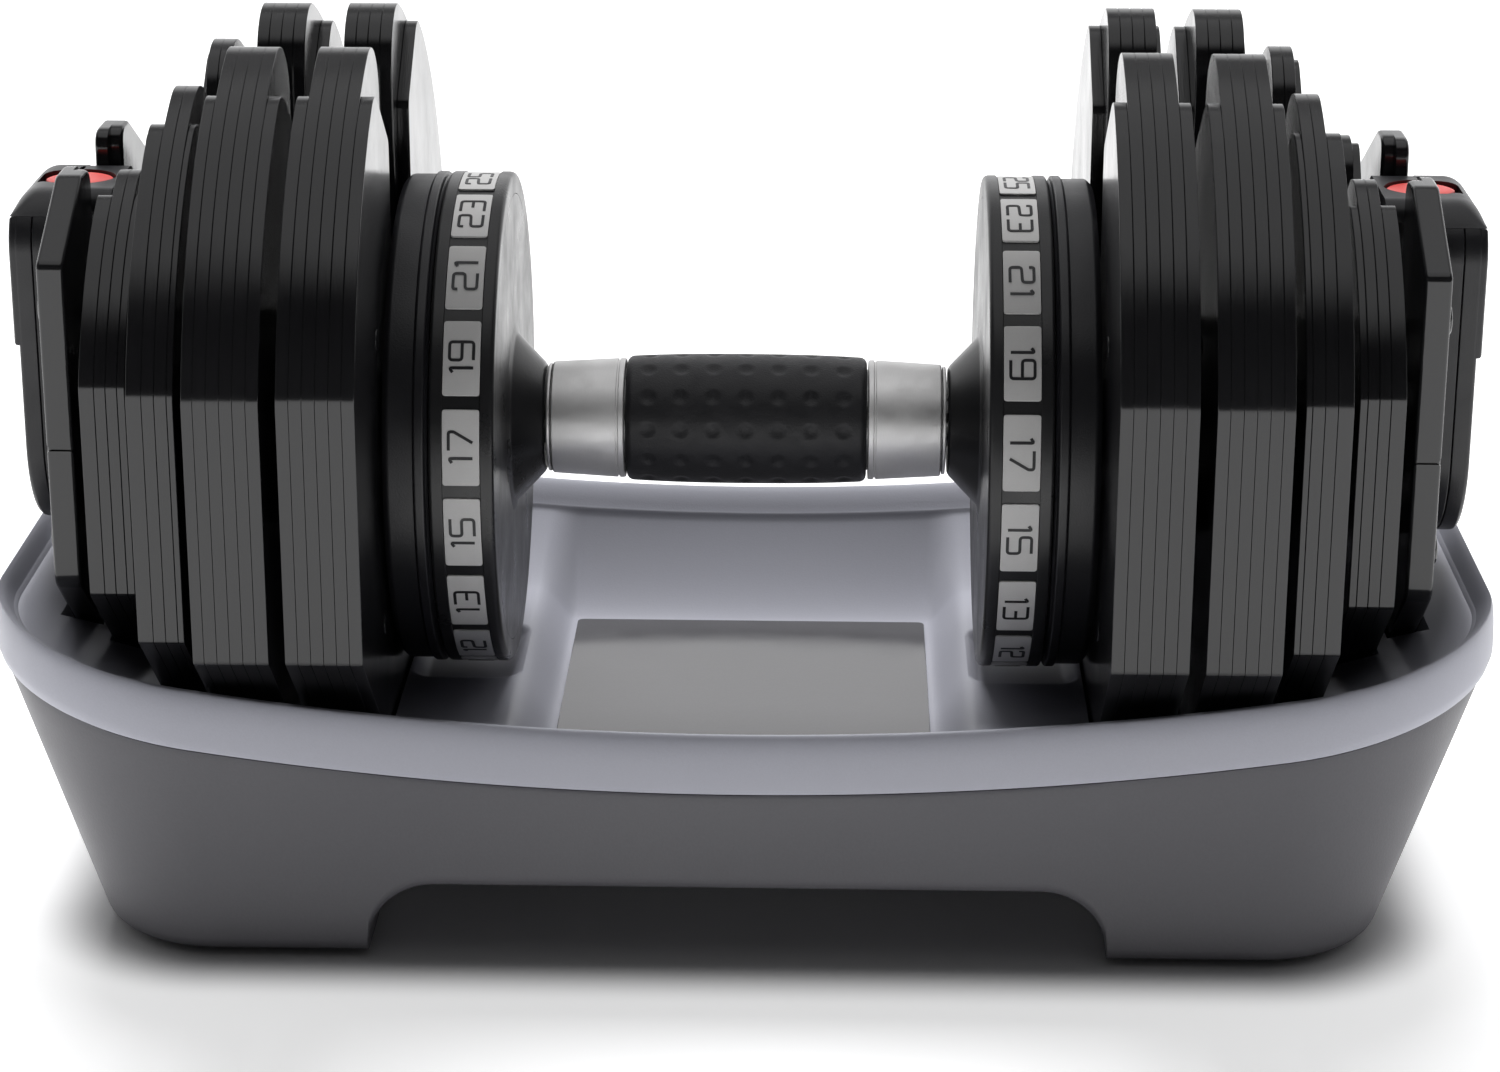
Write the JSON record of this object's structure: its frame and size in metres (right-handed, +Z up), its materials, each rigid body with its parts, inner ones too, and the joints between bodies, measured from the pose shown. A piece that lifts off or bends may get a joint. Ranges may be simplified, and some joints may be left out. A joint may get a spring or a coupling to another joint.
{
  "type": "adjustable dumbbell",
  "caption": "Dial-selected adjustable dumbbell with laminated weight plates and a dimpled grip, standing in a moulded storage tray.",
  "frame": {"origin": "centre of the tray's footprint on the ground", "axes": "+X along the handle, +Y to the back (the settings are read from the front, -Y), +Z up"},
  "size_m": [0.4086, 0.218, 0.2277],
  "materials": {
    "plate_steel": "black coating, satin",
    "collar_metal": "turned, satin",
    "black_plastic": "moulded, fine grain",
    "dial_plastic": "moulded, satin",
    "number_plate": "printed, satin",
    "disc_plastic": "glass-filled nylon",
    "red_plastic": "moulded, semi-gloss",
    "bare_steel": "plain",
    "grip_rubber": "moulded with dimples",
    "tray_light": "light blue-grey, satin",
    "tray_dark": "dark grey, satin",
    "nameplate_film": "satin film, blank",
    "feet_rubber": "plain"
  },
  "bodies": {
    "tray": {"tray_top": "tray_light", "tray_base": "tray_dark", "nameplate": "nameplate_film", "rubber_feet": "feet_rubber", "tray_screws": "bare_steel"},
    "dumbbell": {"axle": "bare_steel", "handle_core": "bare_steel", "grip_sleeve": "grip_rubber", "left_collar": "collar_metal", "left_collar_ring": "black_plastic", "left_detent_carrier": "black_plastic", "left_detent_spring": "bare_steel", "left_end_housing": "black_plastic", "left_end_cap": "black_plastic", "left_hood": "black_plastic", "left_latch_spring": "bare_steel", "left_axle_nut": "bare_steel", "right_collar": "collar_metal", "right_collar_ring": "black_plastic", "right_detent_carrier": "black_plastic", "right_detent_spring": "bare_steel", "right_end_housing": "black_plastic", "right_end_cap": "black_plastic", "right_hood": "black_plastic", "right_latch_spring": "bare_steel", "right_axle_nut": "bare_steel"},
    "left_dial": {"left_dial_face": "dial_plastic", "left_dial_drum": "dial_plastic", "left_dial_numbers": "number_plate", "left_hub_cover": "black_plastic", "left_selector_tube": "bare_steel", "left_selector_disc_ab": "disc_plastic", "left_selector_disc_c": "disc_plastic", "left_selector_disc_d": "disc_plastic", "left_selector_disc_e": "disc_plastic"},
    "left_latch": {"left_lock_latch": "red_plastic"},
    "left_weight_a": {"left_plate_a": "plate_steel"},
    "left_weight_b": {"left_plate_b": "plate_steel"},
    "left_weight_c": {"left_plate_c": "plate_steel"},
    "left_weight_d": {"left_plate_d": "plate_steel"},
    "left_weight_e": {"left_plate_e": "plate_steel"},
    "right_dial": {"right_dial_face": "dial_plastic", "right_dial_drum": "dial_plastic", "right_dial_numbers": "number_plate", "right_hub_cover": "black_plastic", "right_selector_tube": "bare_steel", "right_selector_disc_ab": "disc_plastic", "right_selector_disc_c": "disc_plastic", "right_selector_disc_d": "disc_plastic", "right_selector_disc_e": "disc_plastic"},
    "right_latch": {"right_lock_latch": "red_plastic"},
    "right_weight_a": {"right_plate_a": "plate_steel"},
    "right_weight_b": {"right_plate_b": "plate_steel"},
    "right_weight_c": {"right_plate_c": "plate_steel"},
    "right_weight_d": {"right_plate_d": "plate_steel"},
    "right_weight_e": {"right_plate_e": "plate_steel"}
  },
  "joints": [
    {"name": "lift_out", "type": "slide", "parent": "tray", "child": "dumbbell", "axis": [0, 0, 1], "range_m": [0, 0.12]},
    {"name": "left_dial_turn", "type": "hinge", "parent": "dumbbell", "child": "left_dial", "pos_m": [0, 0, 0.118], "axis": [1, 0, 0], "range_deg": [-300, 0]},
    {"name": "left_latch_slide", "type": "slide", "parent": "dumbbell", "child": "left_latch", "axis": [0, 0, 1], "range_m": [0, 0.0025], "stiffness_N_per_m": 600, "springref_m": -0.0005},
    {"name": "left_weight_a_lift", "type": "slide", "parent": "tray", "child": "left_weight_a", "axis": [0, 0, 1], "range_m": [0, 0.12]},
    {"name": "left_weight_b_lift", "type": "slide", "parent": "tray", "child": "left_weight_b", "axis": [0, 0, 1], "range_m": [0, 0.12]},
    {"name": "left_weight_c_lift", "type": "slide", "parent": "tray", "child": "left_weight_c", "axis": [0, 0, 1], "range_m": [0, 0.12]},
    {"name": "left_weight_d_lift", "type": "slide", "parent": "tray", "child": "left_weight_d", "axis": [0, 0, 1], "range_m": [0, 0.12]},
    {"name": "left_weight_e_lift", "type": "slide", "parent": "tray", "child": "left_weight_e", "axis": [0, 0, 1], "range_m": [0, 0.12]},
    {"name": "right_dial_turn", "type": "hinge", "parent": "dumbbell", "child": "right_dial", "pos_m": [0, 0, 0.118], "axis": [1, 0, 0], "range_deg": [-300, 0]},
    {"name": "right_latch_slide", "type": "slide", "parent": "dumbbell", "child": "right_latch", "axis": [0, 0, 1], "range_m": [0, 0.0025], "stiffness_N_per_m": 600, "springref_m": -0.0005},
    {"name": "right_weight_a_lift", "type": "slide", "parent": "tray", "child": "right_weight_a", "axis": [0, 0, 1], "range_m": [0, 0.12]},
    {"name": "right_weight_b_lift", "type": "slide", "parent": "tray", "child": "right_weight_b", "axis": [0, 0, 1], "range_m": [0, 0.12]},
    {"name": "right_weight_c_lift", "type": "slide", "parent": "tray", "child": "right_weight_c", "axis": [0, 0, 1], "range_m": [0, 0.12]},
    {"name": "right_weight_d_lift", "type": "slide", "parent": "tray", "child": "right_weight_d", "axis": [0, 0, 1], "range_m": [0, 0.12]},
    {"name": "right_weight_e_lift", "type": "slide", "parent": "tray", "child": "right_weight_e", "axis": [0, 0, 1], "range_m": [0, 0.12]}
  ],
  "couplings": [
    {"joint": "left_weight_a_lift", "follows": "lift_out", "ratio": 1},
    {"joint": "left_weight_b_lift", "follows": "lift_out", "ratio": 1},
    {"joint": "left_weight_c_lift", "follows": "lift_out", "ratio": 1},
    {"joint": "left_weight_d_lift", "follows": "lift_out", "ratio": 1},
    {"joint": "left_weight_e_lift", "follows": "lift_out", "ratio": 1},
    {"joint": "right_weight_a_lift", "follows": "lift_out", "ratio": 1},
    {"joint": "right_weight_b_lift", "follows": "lift_out", "ratio": 1},
    {"joint": "right_weight_c_lift", "follows": "lift_out", "ratio": 1},
    {"joint": "right_weight_d_lift", "follows": "lift_out", "ratio": 1},
    {"joint": "right_weight_e_lift", "follows": "lift_out", "ratio": 1}
  ]
}
